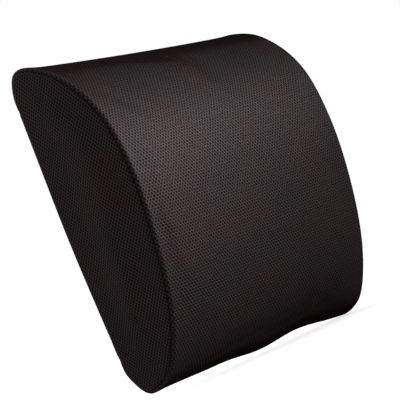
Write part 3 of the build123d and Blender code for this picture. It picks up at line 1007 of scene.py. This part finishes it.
# ---- Hard parts that keep their CAD shape ------------------------------------
for name, made in {
    "zipper_tape_upper": zipper_tape_cloth,
    "zipper_tape_lower": zipper_tape_cloth,
    "zipper_top_stops": lacquered_zinc,
    "zipper_bottom_stop": lacquered_zinc,
    "zipper_slider": lacquered_zinc,
    "slider_cap": lacquered_zinc,
    "zipper_pull": lacquered_zinc,
    "buckle_socket": moulded_acetal,
    "buckle_plug": moulded_acetal,
    "buckle_prong_upper": moulded_acetal,
    "buckle_prong_lower": moulded_acetal,
}.items():
    coat(nodes[name], made)

# ---- Floor, light and camera ---------------------------------------------
FLOOR_Z = -0.166
FLOOR_LIFT = 0.63           # brings the floor to white where the camera sees it
ROOM_LIGHT = 0.6            # the world, as the cloth is lit by it; white where it is seen
deselect()
bpy.ops.mesh.primitive_plane_add(size=12, location=(0, 0, FLOOR_Z))
floor = settle(bpy.context.object)
floor.name = "studio_floor"
white, shader = material("white_paper_floor")
shader.inputs["Base Color"].default_value = linear("#e2e2e2")
shader.inputs["Roughness"].default_value = 0.9
seen_floor = add(white, "ShaderNodeLightPath")
lift = add(white, "ShaderNodeMath", [(0, seen_floor.outputs["Is Camera Ray"])],
           operation="MULTIPLY", inputs={1: FLOOR_LIFT})
glow = add(white, "ShaderNodeEmission", [("Strength", lift.outputs[0])])
joined = add(white, "ShaderNodeAddShader",
             [(0, shader.outputs[0]), (1, glow.outputs[0])])
link(white, joined.outputs[0], white.node_tree.nodes["Material Output"].inputs["Surface"])
coat(floor, white)

world = bpy.data.worlds.new("studio_world")
bpy.context.scene.world = world
world.use_nodes = True
rays = add(world, "ShaderNodeLightPath")
seen = add(world, "ShaderNodeMath",
           [(0, rays.outputs["Is Camera Ray"]), (1, rays.outputs["Is Glossy Ray"])],
           operation="MAXIMUM")
shown = add(world, "ShaderNodeMath",
            [(0, seen.outputs[0]), (1, rays.outputs["Is Transmission Ray"])],
            operation="MAXIMUM")
level = add(world, "ShaderNodeMapRange", [("Value", shown.outputs[0])],
            inputs={"To Min": ROOM_LIGHT, "To Max": 1})
background = world.node_tree.nodes["Background"]
background.inputs["Color"].default_value = (1, 1, 1, 1)
link(world, level.outputs[0], background.inputs["Strength"])


def lamp(name, place, aim, size, power, spread=180):
    """A soft box lamp at a place, aimed at a point."""
    data = bpy.data.lights.new(name, "AREA")
    data.shape = "SQUARE"
    data.size = size
    data.energy = power
    data.spread = math.radians(spread)
    made = bpy.data.objects.new(name, data)
    bpy.context.scene.collection.objects.link(made)
    made.location = place
    made.rotation_euler = (Vector(aim) - Vector(place)).to_track_quat("-Z", "Y").to_euler()


lamp("key_softbox", (0.95, -0.90, 0.40), (-0.42, -0.10, 0.03), 0.40, 1.45, 31)
lamp("back_softbox", (0.4, 1.7, 0.4), (0, 0, 0), 1.0, 12)

AZIMUTH, ELEVATION, ROLL = -0.865, -0.053, -0.391     # radians
DISTANCE = 1.7097
LENS = 157.3                # millimetres, on a sensor 36 mm wide
SIDE_SHIFT, UP_SHIFT = 0.01327, 0.01212
target = Vector((0, -0.0518, 0.0023))
right = Vector((math.cos(AZIMUTH), math.sin(AZIMUTH), 0))
back = Vector((
    math.sin(AZIMUTH) * math.cos(ELEVATION),
    -math.cos(AZIMUTH) * math.cos(ELEVATION),
    math.sin(ELEVATION),
))
up = back.cross(right)
tilted_right = math.cos(ROLL) * right + math.sin(ROLL) * up
tilted_up = -math.sin(ROLL) * right + math.cos(ROLL) * up
camera_data = bpy.data.cameras.new("view")
camera_data.lens = LENS
camera_data.sensor_width = 36
camera_data.clip_start = 0.05
camera = bpy.data.objects.new("view", camera_data)
bpy.context.scene.collection.objects.link(camera)
place = target + DISTANCE * back - SIDE_SHIFT * tilted_right - UP_SHIFT * tilted_up
camera.matrix_world = Matrix(
    (
        (tilted_right.x, tilted_up.x, back.x, place.x),
        (tilted_right.y, tilted_up.y, back.y, place.y),
        (tilted_right.z, tilted_up.z, back.z, place.z),
        (0, 0, 0, 1),
    )
)
bpy.context.scene.camera = camera
bpy.context.scene.view_settings.view_transform = "Standard"
